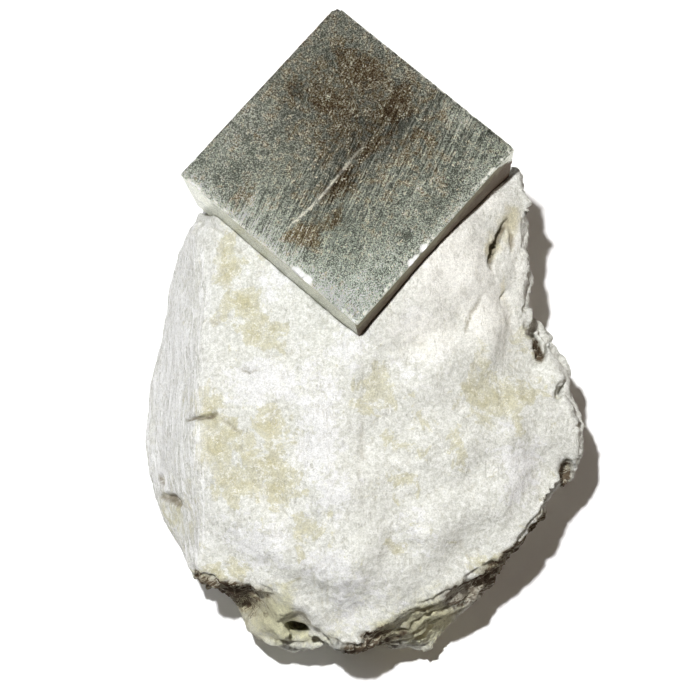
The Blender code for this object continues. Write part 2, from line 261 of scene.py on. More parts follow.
# Lines opened in the surface: points seen from above, lowest height they reach, width, depth.
CRACKS = (
    (((22.6, -5.6), (21.4, -7.6), (20.3, -9.6), (20, -12.6)), 24, 0.5, 1.3),
    (((22.8, -6.4), (23.4, -8), (23.2, -9.8)), 24, 0.4, 0.8),
    (((18.7, -17.2), (17.2, -18.9), (16.4, -21.8)), 24, 0.4, 0.5),
    (((-22.6, -33.2), (-20.8, -33.5), (-19.2, -33.3), (-18.2, -32.8)), 20, 0.42, 1.1),
    (((-17.6, -33), (-16.4, -34.4), (-14.8, -35.4), (-13.6, -35)), 24, 0.4, 0.3),
    (((-19.4, -19.8), (-18.4, -20.2), (-17.8, -19)), 24, 0.4, 0.3),
    (((-14.8, -26.8), (-13.6, -27.4), (-12.2, -27)), 24, 0.32, 0.35),
    (((2.1, -26.7), (1.9, -31), (2.2, -36), (1.8, -41), (2.4, -47)), 24, 0.7, 0.12),
    (((-27.4, -43), (-25.4, -43.6), (-24.2, -44.6)), 12, 0.9, 1.5),
    (((-28, -40), (-27.2, -41.4)), 12, 0.7, 0.9),
)
# Small pits: middle, radius, depth.
PITS = (
    ((2.4, -23.4, 34.5), 0.6, 0.8), ((-15.6, -42.9, 31), 0.4, 0.4),
)
# Lumps and knobs: middle, radius, height.
KNOBS = (
    ((30.6, -41.2, 20), 0.9, 0.9), ((29.4, -42.4, 18), 0.8, 0.8),
    ((31.2, -40.2, 23.5), 0.7, 0.6), ((28.6, -18.4, 19.5), 1, 0.6),
    ((29, -20.4, 19), 0.9, 0.6), ((-11.5, -58, 24), 0.7, 0.8),
    ((-5, -60.9, 24), 0.9, 0.5),
)
# Edges of the upper face, seen from above: the heading in which the rock drops away there,
# and for each point its place, how deep the drop is and how dark the rock below it is
# painted, as dark rock with painted shade.
RIMS = (
    (-52, (
        (29.2, -43.2, 0.5, 0.6), (26.9, -46.5, 1.5, 1), (23.8, -50, 3, 1),
        (19.6, -53.2, 4.5, 1), (15, -55.6, 4.5, 0.7), (11.9, -57.8, 3.5, 0.4),
        (8.2, -59.7, 1.8, 0.3), (4.2, -61.5, 2.4, 0.7), (1.5, -63.9, 2.5, 0.95),
        (-1.8, -64, 1.5, 0.8),
    )),
    (-92, (
        (-22.1, -53.3, 1, 0.8), (-20.2, -54.2, 2.8, 1), (-18, -54.6, 4.5, 1),
        (-13.5, -55.6, 4.5, 0.8), (-11.3, -56.2, 2.5, 0.5), (-9.6, -56.6, 0.5, 0.2),
    )),
)
RIM_WALL = 0.7
DROP_REACH = (3, 6)  # the drop fades out between these distances from its edge
BROKEN_ABOVE = (9, 17)  # nothing is broken down below the first height
RAGGED_EDGE = 0.35
HOLE_RAGGED_SHARE = 0.4
# Deep holes: middle seen from above, half-widths, depth, and how dark the rock in it is
# painted, as dark rock with painted shade.
HOLES = (
    ((-7, -61.2), (2, 1.6), 4, 0.35), ((-15.6, -56.9), (4, 0.9), 3, 0.8),
    ((3.6, -63.2), (1.9, 0.9), 2.5, 0.9), ((27.4, -22.6), (1.1, 2.6), 2.2, 1),
    ((31.2, -40.4), (1.2, 2), 4, 0.9),
)
# Rock that stands higher: middle seen from above, half-widths, height.
RISES = (((-21.2, -3), (2.8, 2.4), 1.9), ((-19.4, -5.6), (2, 2), 0.6))
# A slope of soft fibrous rock at the plain end, whose streaks run down it.
FIBRE_MIDDLE, FIBRE_HALVES = (-4.2, -58.5), (3.6, 5)
# The crystal's pocket is closed up near the crystal, fading out between these distances.
POCKET_REACH = (0.6, 1.8)
# How upright a normal is on the upper face, and how far it points left on that slope.
FLAT_NORMAL = (0.30, 0.60)
LEFT_NORMAL = (0.3, 0.75)
# Rounds of smoothing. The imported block's facets go, and its edges stay where the slight and
# the strong one differ by more than SHARP_EDGE.
SLIGHT_ROUNDS, STRONG_ROUNDS, WORN_ROUNDS = 4, 26, 160
SHARP_EDGE = (0.10, 0.30)
# The base and the skin by the crystal are left alone, up to these heights and distances.
BASE_FREE = (0.05, 1.2)
POCKET_FREE = (0.35, 1.5)
# Where the rock is worn round: the left-hand shoulder and the cleft in the spur.
SHOULDER_X, SHOULDER_Y = (9, 15), (-54, -49)
CLEFT_MIDDLE, CLEFT_HALVES, CLEFT_WEAR = (21.2, -9.5), (4, 6.5), 0.8


def even_cells(mesh):
    """The mesh remade of even cells, and its points in millimetres of the specimen's frame."""
    piece = object_from("marl_block", mesh)
    remesh = piece.modifiers.new("Even cells", "REMESH")
    remesh.mode = "VOXEL"
    remesh.voxel_size = VOXEL * MM
    mesh = applied(piece)
    return mesh, vectors(mesh.vertices, "co") / MM - SPECIMEN_SHIFT


def past_rim(points, heading, rim):
    """For each point, how far past the rim it lies, and the rim's drop and darkness there."""
    turn = math.radians(heading)
    out = np.array((math.cos(turn), math.sin(turn)))
    along = np.array((-math.sin(turn), math.cos(turn)))
    rim = sorted(rim, key=lambda entry: np.dot(entry[:2], along))
    places = [np.dot(entry[:2], along) for entry in rim]
    edges = [np.dot(entry[:2], out) for entry in rim]
    drops, darks = [entry[2] for entry in rim], [entry[3] for entry in rim]
    where = points[:, :2] @ along
    edge, drop, dark = (
        np.interp(where, places, values, 0, 0) for values in (edges, drops, darks)
    )
    return points[:, :2] @ out - edge, drop, dark


def zone_apart(points, middle, halves):
    """Distance of each point, seen from above, from a zone's middle, in its half-widths."""
    return norms((points[:, :2] - middle) / halves)


def hole_share(points, middle, halves):
    return 1 - ease(zone_apart(points, middle, halves), 0.75, 1.1)


def fibre_share(points):
    return 1 - ease(zone_apart(points, FIBRE_MIDDLE, FIBRE_HALVES), 0.6, 1.2)


def broken(points):
    """The block's points with its edges broken down, its holes deepened and its rises raised."""
    high = ease(points[:, 2], *BROKEN_ABOVE)
    swayed = points + RAGGED_EDGE * fractal(points, 1.8, 191, 3, 0.6)[:, None]
    lowered = np.zeros(len(points))
    for heading, rim in RIMS:
        past, drop, _ = past_rim(swayed, heading, rim)
        fade = 1 - ease(past, *DROP_REACH)
        lowered = np.maximum(lowered, drop * fade * ease(past, 0, RIM_WALL))
    rough = points + HOLE_RAGGED_SHARE * (swayed - points)
    for middle, halves, depth, _ in HOLES:
        lowered = np.maximum(lowered, depth * hole_share(rough, middle, halves))
    for middle, halves, height in RISES:
        lowered -= height * (1 - ease(zone_apart(points, middle, halves), 0, 1.2))
    moved = points.copy()
    moved[:, 2] -= high * lowered
    return moved


def block_surface():
    """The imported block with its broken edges, in even cells."""
    mesh, points = even_cells(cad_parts["matrix"].data.copy())
    set_points(mesh, broken(points) + SPECIMEN_SHIFT)
    return even_cells(mesh)


def in_cube(points):
    """The points, in millimetres of the specimen's frame, in the cube's own frame."""
    place = cube_frame()
    turn = np.array(place.to_3x3())
    middle = np.array(place.translation) / MM - SPECIMEN_SHIFT
    return (points - middle) @ turn, turn


def cube_apart(points):
    """Distance from each point to the cube's sides and underside, and the way out."""
    local, turn = in_cube(points)
    beyond = np.abs(local) - CUBE_HALF
    beyond[:, 2] = -local[:, 2] - CUBE_HALF
    outside = np.maximum(beyond, 0)
    apart = norms(outside)
    way = np.sign(local) * outside / np.maximum(apart, 1e-9)[:, None]
    return apart, way @ turn.T


def close_pocket(points):
    """Draws the wall of the pocket up to the crystal, as rock that grew round it."""
    apart, way = cube_apart(points)
    pull = (POCKET_GAP - CONTACT) * (1 - ease(apart, *POCKET_REACH))
    pull = np.minimum(pull, np.maximum(apart - CONTACT, 0))
    return points - way * pull[:, None]


def beds(points, thickness, sway, seed):
    """Thin beds seen edge on: each stands out to a sharp upper lip, here and there."""
    level = points @ BED_DIP + sway * fractal(points, 5, seed, 3)
    bed = np.floor(level / thickness)
    share = level / thickness - bed
    lip = ease(share, 0, 0.7) - ease(share, 0.86, 1)
    spots = np.column_stack((points[:, 0], points[:, 1], bed * 17.3))
    return (lip - 0.45) * ease(noise(spots, 6, seed + 5), -0.45, 0.35)


# In each layer of relief the number before the noise is its height, and the number after
# the points the size of its lumps, both in millimetres. The next one seeds it.


def face_relief(points):
    """The upper face: shallow broken plates, crumbs and a fine grain."""
    moved = 0.16 * fractal(points, 6, 11, 2)
    swayed = wandering(points, 2.4, 0.5, 15)
    moved += 0.24 * terraced(fractal(swayed, 4.6, 21, 3, 0.6), 0.24, 0.25)
    moved += 0.06 * ridged(swayed, 1.5, 31, 2)
    return moved + 0.035 * fractal(points, 0.7, 35, 2, 0.7)


def left_relief(points):
    """The left-hand slope: fine laminae along it, with scratches across them."""
    long_way = points * (0.55, 0.16, 1)
    moved = 0.25 * fractal(points, 4, 41, 2)
    moved += 0.16 * beds(points, 1.9, 2.2, 45) + 0.08 * beds(points, 0.8, 1.8, 47)
    moved += 0.08 * ridged(long_way, 0.9, 51, 2)
    return moved + 0.03 * fractal(points, 0.7, 55, 2, 0.7)


def wall_relief(points):
    """The broken walls: ledges of thin beds, pockets between them and a rough skin."""
    moved = 0.35 * fractal(points, 3.6, 61, 2)
    moved += 1.5 * beds(points, 2.7, 1.6, 65) + 0.5 * beds(points, 0.9, 1.2, 67)
    moved += 0.30 * ridged(wandering(points, 2, 0.5, 70), 2.2, 71, 2)
    return moved + 0.07 * fractal(points, 0.8, 75, 2, 0.7)


def crack_depth(points):
    swayed = wandering(points, 1.6, 0.3, 85)
    deepest = np.zeros(len(points))
    for path, lowest, width, depth in CRACKS:
        apart, along = polyline_distance(swayed, path)
        taper = np.sin(np.pi * np.clip(along, 0.05, 0.95)) ** 0.5 * (points[:, 2] > lowest)
        deepest = np.maximum(deepest, depth * taper * np.exp(-((apart / (width * 0.5)) ** 2)))
    return deepest


def facing_left(normals):
    """How far each point of the skin faces left, however steep it is."""
    sideways = np.maximum(np.hypot(normals[:, 0], normals[:, 1]), 1e-6)
    return ease(-normals[:, 0] / sideways, *LEFT_NORMAL)


def carve(points, normals):
    """How far each point of the skin moves along its normal."""
    flat = ease(normals[:, 2], *FLAT_NORMAL)
    left = facing_left(normals)
    fibres = fibre_share(points)
    calm = 1 - ease(fibres, 0.2, 0.8)
    steep = left * left_relief(points) + (1 - left) * calm * wall_relief(points)
    moved = flat * face_relief(points) + (1 - flat) * steep
    moved += fibres * 0.22 * ridged(points * (1, 0.14, 0.14), 0.75, 81, 2)
    moved -= crack_depth(points)
    for middle, radius, height in KNOBS:
        moved += height * dome(points, middle, radius)
    for middle, radius, depth in PITS:
        moved -= depth * dome(points, middle, radius)
    # The round hole at the plain end keeps a calm rim.
    middle, halves = HOLES[0][:2]
    moved *= 1 - 0.8 * hole_share(points, middle, np.multiply(halves, 1.4))
    apart, _ = cube_apart(points)
    return moved * ease(apart, 0.3, 1.4)


def thinned(mesh):
    """The mesh with its flattest parts in fewer, larger faces."""
    piece = object_from("marl_block", mesh)
    thin = piece.modifiers.new("Fewer faces", "DECIMATE")
    thin.ratio = min(1, MOST_TRIANGLES / sum(len(face.vertices) - 2 for face in mesh.polygons))
    return applied(piece)


def shape_block():
    """The finished skin of the block, as a mesh in the row frame."""
    mesh, points = block_surface()
    edges = edges_of(mesh)
    apart, _ = cube_apart(points)
    free = ease(points[:, 2], *BASE_FREE) * ease(apart, *POCKET_FREE)
    free = free[:, None]
    slight, strong = (smoothed(points, edges, rounds) for rounds in (SLIGHT_ROUNDS, STRONG_ROUNDS))
    sharp = ease(norms(strong - slight), *SHARP_EDGE)[:, None]
    shoulder = ease(-points[:, 0], *SHOULDER_X) * ease(points[:, 1], *SHOULDER_Y)
    cleft = 1 - ease(zone_apart(points, CLEFT_MIDDLE, CLEFT_HALVES), 0.6, 1.1)
    worn_round = np.maximum(shoulder, CLEFT_WEAR * cleft)[:, None]
    rounder = smoothed(strong, edges, WORN_ROUNDS)
    target = strong + sharp * (slight - strong)
    points += free * (target + worn_round * (rounder - target) - points)
    normals = normals_of(mesh, points + SPECIMEN_SHIFT)
    points += free * normals * carve(points, normals)[:, None]
    points = close_pocket(points)
    points[:, 2] = np.maximum(points[:, 2], 0)
    set_points(mesh, points + SPECIMEN_SHIFT)
    return thinned(mesh)


# Block of marl: colours

ZONE_FALL = 0.7
# The streaked slope on the left starts between these distances left of the middle.
SLOPE_FROM, SLOPE_SWAY = (17.5, 21.5), 1.6
PLAIN_END = -54  # the left-hand slope ends here
# Past a rim the rock is painted darker, as dark rock with painted shade, between the first
# two distances, and pales between the others.
UMBER_SHADE_FROM, UMBER_SHADE_UNTIL = (0.15, 0.8), (2.5, 6)
# How many rounds of smoothing each measure of a hollow is taken from. Hollows and nooks
# are painted darker: partly dust, partly painted shade.
HOLLOW_ROUNDS = {"nook_dust_and_shade": 4, "hollow_dust_and_shade": 20}

# Soft zones of colour, seen from above: middle, half-widths, strength.
TAN_ZONES = (
    (-17.1, -12, 2, 4.6, 1.05), (-14.9, -17.7, 4.2, 2, 0.9), (-11.8, -21.9, 3.1, 2, 0.8),
    (-19.6, -31.6, 3.5, 2.1, 1.1), (-18.2, -36.5, 3, 5.5, 1.1), (-10.6, -34.5, 2.5, 2.5, 0.8),
    (-11.2, -38.7, 3.4, 3.4, 0.8), (-15.3, -42, 3.4, 3, 0.95), (-9.8, -43.4, 3.4, 2, 0.9),
    (-24.8, -44.7, 3.6, 3.2, 0.95), (-22.4, -49.1, 2, 2.1, 0.7), (-4.7, -48.6, 2.7, 1.6, 0.85),
    (-18.3, -54.4, 4.2, 1.1, 0.9), (-5.7, -52.2, 1.6, 0.8, 0.5), (3.9, -31.2, 3, 4.1, 0.65),
    (10, -34, 2.7, 2.1, 0.6), (19.8, -30.8, 5.5, 3.5, 0.85), (7.3, -38, 2.7, 2.7, 0.6),
    (8.6, -42.1, 2.5, 1.9, 0.6), (15.5, -38, 2.1, 2.7, 0.6), (16.9, -19.8, 2.5, 2.1, 0.5),
    (26.2, -29.4, 2.8, 3.5, 0.6), (19.7, -53.7, 3.4, 1.6, 0.7), (6.6, -50.8, 1.6, 1.1, 0.7),
    (14.8, -50.8, 2.7, 2.7, 0.4), (18, -26, 4, 3, 0.4), (24, -22, 3, 4, 0.4),
)
WHITE_ZONES = (
    (-11.2, -29.1, 5.5, 3, 0.9), (-3.7, -35.3, 3.4, 8.2, 0.8), (-2.3, -44.8, 2.7, 4.1, 0.6),
    (-11.9, -50.1, 4.1, 3.4, 0.7), (-0.2, -24.4, 3.4, 2.8, 0.7), (9.4, -20.9, 2.1, 2.8, 0.9),
    (14.3, -13.9, 3.5, 4.2, 0.8), (-24.1, -9.9, 1.8, 7.6, 0.7), (-25.6, -24, 3.2, 14, 1),
    (-27, -36, 3.2, 7, 0.8), (8, -27, 4, 3, 0.5), (12, -25, 4, 3, 0.45),
    (10.5, -48, 5, 3.5, 0.35), (3, -57.5, 4, 2.5, 0.5), (24, -40.4, 3.5, 5.5, 0.7),
    (-0.2, -59.6, 2.8, 3.4, 0.9), (-2.3, -53.5, 3.4, 2, 0.9), (-10, -14.5, 3.6, 2.6, 0.7),
)
RUST_ZONES = (
    (22.9, -6.1, 1.7, 2.9, 1), (20.7, -9.4, 1.3, 1.8, 1), (21.9, -15.1, 0.8, 2, 0.7),
    (-7.2, -61.5, 2, 2, 0.5),
)
OLIVE_ZONES = (
    (-8, -61, 6, 3.2, 1), (-13.5, -58.6, 4, 1.8, 0.8), (12, -61.5, 4.5, 3.2, 1),
    (6, -62.5, 3, 2, 0.7), (-25.6, -46.5, 2.2, 3, 0.4),
)
# Painted light: the rock to the right of the crystal made a brighter, warmer white.
PAINTED_LIGHT_ZONES = (
    (15, -13.5, 6.5, 6.5, 1), (11, -22, 5, 4, 0.8), (19.5, -18.5, 4.5, 5, 0.9),
    (24.5, -11, 2.5, 7, 0.6), (18, -3, 4, 3, 0.8),
)
GREY_ZONES = (
    (-19.3, -16.6, 1.4, 4.3, 0.6), (-23.3, -35.5, 2.2, 6.5, 0.7), (19.7, -32.5, 5.5, 5.5, 0.5),
    (4.6, -31.2, 1.9, 5.5, 0.6),
)


def zone_strength(points, zones):
    """The strongest of the soft zones at each point."""
    strength = np.zeros(len(points))
    for x, y, wide, long, most in zones:
        apart = zone_apart(points, (x, y), (wide, long))
        strength = np.maximum(strength, most * np.exp(-ZONE_FALL * apart**2))
    return strength


def colour_block(mesh):
    points = vectors(mesh.vertices, "co") / MM - SPECIMEN_SHIFT
    normals = vectors(mesh.vertices, "normal")
    edges = edges_of(mesh)
    for name, rounds in HOLLOW_ROUNDS.items():
        # How far each place lies below its surroundings.
        below = np.einsum("ij,ij->i", smoothed(points, edges, rounds) - points, normals)
        paint(mesh, name, below)
    swayed = wandering(points, 3, 0.9, 91)
    upper = ease(normals[:, 2], 0, 0.35)
    left = facing_left(normals) * (points[:, 1] > PLAIN_END)
    slope = -points[:, 0] - SLOPE_SWAY * noise(points, 3, 95)
    for name, zones, where in (
        ("tan", TAN_ZONES, upper), ("chalk", WHITE_ZONES, upper), ("painted_light", PAINTED_LIGHT_ZONES, upper),
        ("grey", GREY_ZONES, upper), ("rust", RUST_ZONES, points[:, 2] > 12),
        ("olive", OLIVE_ZONES, 1 - 0.9 * fibre_share(points)),
    ):
        paint(mesh, name, zone_strength(swayed, zones) * where)
    paint(mesh, "left", left * ease(slope, *SLOPE_FROM))
    paint(mesh, "wall", (1 - ease(normals[:, 2], 0.15, 0.6)) * (1 - 0.85 * left))
    # Below the rims and in the holes the rock is painted dark: dark rock with painted shade.
    umber_and_shade = np.zeros(len(points))
    for heading, rim in RIMS:
        past, _, dark = past_rim(swayed, heading, rim)
        dark = dark * ease(past, *UMBER_SHADE_FROM)
        umber_and_shade = np.maximum(umber_and_shade, dark * (1 - 0.6 * ease(past, *UMBER_SHADE_UNTIL)))
    for middle, halves, _, dark in HOLES:
        umber_and_shade = np.maximum(umber_and_shade, dark * hole_share(points, middle, halves))
    paint(mesh, "umber_and_shade", umber_and_shade * ease(points[:, 2], 3, 9))
    # Cracks painted dark: painted shade in them.
    paint(mesh, "crack_shade", np.minimum(1, 1.5 * crack_depth(points)))


def make_block(finish):
    mesh = shape_block()
    colour_block(mesh)
    mesh.name = "marl_block"
    mesh.shade_smooth()
    mesh.materials.clear()
    mesh.materials.append(finish)
    piece = object_from("marl_block", mesh)
    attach(piece, "root")
    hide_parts("matrix")


# Crystal

TOP_CELLS = 190
SIDE_CELLS = 64
# Growth steps, as in part.py: a side's axis and sign, the stretch that lies lower on that
# side's own two axes in turn, and how far it lies below the rest of the side.
GROWTH_STEPS = (
    ("z", 1, (14.8, 17), (4, 17), 0.12),
    ("z", 1, (-17, -15.7), (9, 17), 0.20),
    ("x", -1, (-17, 5), (-17, 6.5), 0.35),
    ("x", -1, (-17, -4), (-17, 1), 0.75),
    ("x", -1, (10, 17), (-17, 10), 0.30),
    ("y", -1, (0, 17), (-17, 7), 0.30),
    ("y", -1, (6.5, 17), (-17, 0), 0.70),
    ("x", 1, (-17, -7), (-17, 2), 0.40),
    ("y", 1, (-17, -9), (-17, 4), 0.35),
)
# Chips broken from its corners and edges: local place, radius.
CHIPS = (
    ((-16.2, -16.2, 16.3), 1.25), ((16.4, 16.3, 16.4), 0.75), ((-16.4, 15.9, 16.3), 0.9),
    ((16.3, -16.4, 16.2), 0.7), ((-16.3, 6.5, 16.4), 0.7), ((-16.4, 8.4, 16.3), 0.85),
    ((-16.5, -8, 16.4), 0.8), ((12.5, -16.5, 16.4), 0.75), ((-16.4, -16.2, -3), 0.9),
    ((-16.3, -16.4, 9.5), 0.7),
)
# Chips along the two front edges, painted white and not metallic: local place, radius.
BRIGHT_CHIPS = (
    ((15.95, 5, 16.3), 0.75), ((15.9, 5.8, 16.3), 0.7), ((15.95, 6.8, 16.3), 0.85),
    ((5, 15.95, 16.3), 0.65), ((4.2, 16, 16.3), 0.55), ((2.4, 15.95, 16.3), 0.7),
    ((16.1, 13.3, 16.2), 0.35), ((16.1, 15.2, 16.2), 0.4), ((16.1, -13.8, 16.2), 0.45),
    ((15.9, -12.6, 16.2), 0.3), ((13.2, -16.1, 16.2), 0.35), ((-2.6, 16.1, 16.2), 0.3),
)
SMALL_CHIPS = 110
CHIP_FACETS = 0.16
CORNER_ODDS = (0.45, 0.45, 0.1)  # a small chip falls on either kind of top edge or a corner
# Radius of the worn edges: the usual one, its swing and its limits.
WEAR, WEAR_SWING, WEAR_LIMITS = 0.15, 0.11, (0.06, 0.35)
# A raised line where two parts of the top face grew together, its height and half-width,
# and how plainly it shows at some shares of its length.
GROWTH_LINE = ((12.6, 0.1), (11.9, 0.2), (7.2, 0.7), (2.2, 0.5), (-2.8, 0.2), (-4.8, -0.3))
LINE_HEIGHT, LINE_WIDTH, LINE_PAINT_WIDTH = 0.035, 0.16, 0.17
LINE_SHARES, LINE_STRENGTHS = (0, 0.06, 0.42, 0.80, 1), (0, 1, 0.9, 0.5, 0)
STREAK_TURN = math.radians(16.7)
# Pits in the top face: local middle, radius, depth.
TOP_PITS = (
    ((3.4, 11.4), 0.30, 0.10), ((2.5, 12.4), 0.34, 0.12), ((3, 13.4), 0.26, 0.09),
    ((-3, 13.1), 0.34, 0.10), ((-7.1, 13.9), 0.34, 0.09), ((11, -11), 0.4, 0.07),
    ((-0.4, 12), 0.28, 0.08), ((0.8, 13.6), 0.24, 0.08), ((-1.9, 11.6), 0.24, 0.07),
    ((12.1, 3), 0.35, 0.08), ((10.8, 4), 0.3, 0.07), ((-9, 8.6), 0.28, 0.07),
)
SMALL_PITS = 200
# Soft zones on the top face: local middle, half-widths, strength.
STAIN_ZONES = (
    (-7, -4, 10.5, 12, 0.60), (-11, -7.6, 2.6, 4.6, 1), (-3.2, -12, 2.2, 1.7, 0.8),
    (-4.8, -7.8, 2, 2.6, 0.95), (-10.2, -0.6, 3.2, 1.9, 1.15), (-4.2, 1, 2, 1.2, 1),
    (2.7, 1.3, 3.4, 1.5, 0.95), (11, 2.4, 2.2, 1.9, 1), (0.7, -1.8, 2, 1.4, 0.5),
    (-6.5, 3.6, 3, 1.4, 0.6), (6.6, 3.8, 2.4, 1.2, 0.6), (12.6, -7.5, 1.4, 1.2, 0.45),
)
DARK_ZONES = (
    (11.4, -10.4, 2.3, 2.2, 0.75), (-3.2, 12.8, 1.5, 1.3, 0.6), (-6.9, 13.2, 1.6, 1.1, 0.55),
    (3, 12.4, 0.9, 1.2, 0.5), (12.6, 4.6, 1.5, 1, 0.5), (-13, 9.8, 1.3, 1.2, 0.35),
    (6.2, -12.6, 1.4, 1, 0.3), (0.6, -10.8, 1.2, 1, 0.3),
)
PALE_ZONES = (
    (15.2, 9.5, 1.3, 7, 0.8), (14, 14.4, 3.2, 2.6, 0.7), (15.4, -3, 0.9, 9, 0.45),
    (9.5, 15.3, 6, 1.1, 0.45), (0.5, 15.4, 9, 0.8, 0.35), (-11, 15.2, 4, 1.1, 0.5),
    (-14.9, -1.5, 0.9, 4.5, 0.5), (-15, 8, 0.9, 5.5, 0.45), (12, -7.2, 2.2, 2, 0.35),
    (14.3, 1, 1.3, 2.4, 0.5), (-14.6, -8.6, 1, 1.4, 0.5),
)
# Painted on the top face's colour, partly its own tarnish and partly painted reflection:
# how much lighter it is made as a whole, and wide zones made lighter or darker.
SHINE_LEVEL = 1.36
SHINE_ZONES = (
    (17.5, 0, 5.5, 40, 1.15), (-3.8, -0.6, 8, 4.6, -0.50), (3.8, 1.6, 3, 2.2, -0.30),
    (5.5, -13.5, 5, 5, 0.50), (-3.2, -1.6, 3, 2.2, -0.15), (11.5, -1, 3, 3, 0.20),
    (-14, 6.5, 2.2, 2.6, 0.35), (-5, 14, 8, 6.5, 0.5), (-7, -16.5, 12, 2.8, 0.25),
    (8, 13.5, 10, 4.5, 0.35), (-8.6, 1.6, 2, 1.6, -0.20), (-6, -10.5, 6, 2.6, -0.25),
    (6.5, 4.5, 2.4, 1.6, -0.25),
)


def side_grid(axis, sign, first, second):
    """Points and four-cornered faces, turned outwards, of one side of the cube."""
    one, two = np.meshgrid(first, second, indexing="ij")
    points = np.empty((one.size, 3))
    points[:, axis] = sign * CUBE_HALF
    points[:, (axis + 1) % 3] = one.ravel()
    points[:, (axis + 2) % 3] = two.ravel()
    index = np.arange(one.size).reshape(one.shape)
    ring = [index[:-1, :-1], index[1:, :-1], index[1:, 1:], index[:-1, 1:]]
    return points, np.stack([part.ravel() for part in ring[::sign]], axis=1)


def crystal_lattice():
    """A cube with fine cells on its top and sides and one plain face underneath."""
    across = np.linspace(-CUBE_HALF, CUBE_HALF, TOP_CELLS + 1)
    # The rows of cells on the sides are closer together towards the top.
    share = np.linspace(1, 0, SIDE_CELLS + 1)
    height = CUBE_HALF - CUBE_EDGE * (0.45 * share + 0.55 * share**2)
    spans = {0: (across, height), 1: (height, across), 2: (across, across)}
    sides = [side_grid(2, 1, *spans[2])]
    sides += [side_grid(axis, sign, *spans[axis]) for axis in (0, 1) for sign in (1, -1)]
    starts = np.cumsum([0] + [len(points) for points, _ in sides])
    faces = np.vstack([ring + start for (_, ring), start in zip(sides, starts)])
    points = np.vstack([points for points, _ in sides])
    _, kept, merged = np.unique(
        np.round(points, 5), axis=0, return_index=True, return_inverse=True
    )
    points, faces = points[kept], merged.reshape(-1)[faces]
    lowest = np.flatnonzero(points[:, 2] < 1e-5 - CUBE_HALF)
    bearing = np.arctan2(points[lowest, 1], points[lowest, 0])
    return points, [*faces.tolist(), lowest[np.argsort(-bearing)].tolist()]


def band(value, span, soft):
    low, high = span
    risen = ease(value, low - soft, low + soft)
    return risen * (1 - ease(value, high - soft, high + soft))


def grown(points):
    """The steps that growth left on the sides."""
    swayed = points + 0.12 * fractal(points, 1.2, 101, 2)[:, None]
    moved = points.copy()
    for side, sign, first, second, depth in GROWTH_STEPS:
        axis = "xyz".index(side)
        share = ease(sign * points[:, axis], CUBE_HALF - 1.5, CUBE_HALF - 0.2)
        for span, other in zip((first, second), [a for a in range(3) if a != axis]):
            share = share * band(swayed[:, other], span, 0.12)
        moved[:, axis] -= sign * depth * share
    return moved


def worn(points):
    """The edges rounded a little, more in some places than in others."""
    wear = np.clip(WEAR + WEAR_SWING * fractal(points, 1.4, 81, 3), *WEAR_LIMITS)[:, None]
    core = np.clip(points, wear - CUBE_HALF, CUBE_HALF - wear)
    outward = points - core
    outward /= np.maximum(norms(outward), 1e-9)[:, None]
    rounded = np.abs(points - core).max(axis=1, keepdims=True) > 0
    return core + outward * np.where(rounded, wear, 0)


def chipped(points, chips):
    """Pushed out of each chip's ball, which has a slightly faceted skin."""
    for place, radius in chips:
        apart = points - place
        length = norms(apart)
        near = np.flatnonzero(length < radius * 1.2)
        if not len(near):
            continue
        facing = apart[near] / np.maximum(length[near], 1e-6)[:, None]
        reach = radius * (1 + CHIP_FACETS * terraced(noise(facing, 0.7, 111), 0.5, 0.4))
        inside = length[near] < reach
        points[near[inside]] = place + (facing * reach[:, None])[inside]
    return points


def streaky(points):
    """The share of each place that is drawn out in fine streaks, rather than grainy."""
    across = points[:, 1] + 0.3 * points[:, 0] + 1.2 * noise(points, 4, 139)
    return ease(across, -6.5, -0.5) * (1 - 0.6 * ease(across, 5, 12))


def line_share(points, width):
    """How strongly the growth line shows at each point, for a line of that half-width."""
    swayed = points + 0.12 * noise(points, 1.5, 135)[:, None]
    apart, along = polyline_distance(swayed, GROWTH_LINE)
    return np.interp(along, LINE_SHARES, LINE_STRENGTHS) * np.exp(-((apart / width) ** 2))


def small_chips():
    """Nicks of many sizes strung along the edges that stand free."""
    rng = np.random.default_rng(7)
    chips = []
    for _ in range(SMALL_CHIPS):
        along, radius = rng.uniform(-15.5, 15.5), 0.14 + 0.3 * rng.random() ** 3
        out = CUBE_HALF + 0.45 * radius
        first, second = rng.choice((-1, 1), 2)
        places = (
            (along, first * out, out), (first * out, along, out),
            (first * out, second * out, abs(along)),
        )
        chips.append((places[rng.choice(3, p=CORNER_ODDS)], radius))
    return chips


def top_relief(points):
    """Height of the top face's pits, grains, streaks and growth line."""
    cosine, sine = math.cos(STREAK_TURN), math.sin(STREAK_TURN)
    drawn = points @ ((cosine, -sine, 0), (sine, cosine, 0), (0, 0, 1)) * (0.12, 1, 1)
    height = 0.010 * fractal(points, 1, 121, 2, 0.7) + 0.03 * fractal(points, 4, 125, 2)
    height += 0.016 * streaky(points) * ridged(drawn, 0.55, 131, 2)
    height += LINE_HEIGHT * line_share(points, LINE_WIDTH)
    rng = np.random.default_rng(11)
    pits = list(TOP_PITS)
    for x, y, size in rng.random((SMALL_PITS, 3)):
        pits.append(((31 * x - 15.5, 31 * y - 15.5), 0.14 + 0.12 * size**2, 0.02 + 0.03 * size))
    for middle, radius, depth in pits:
        height -= depth * dome(points[:, :2], middle, radius)
    return height


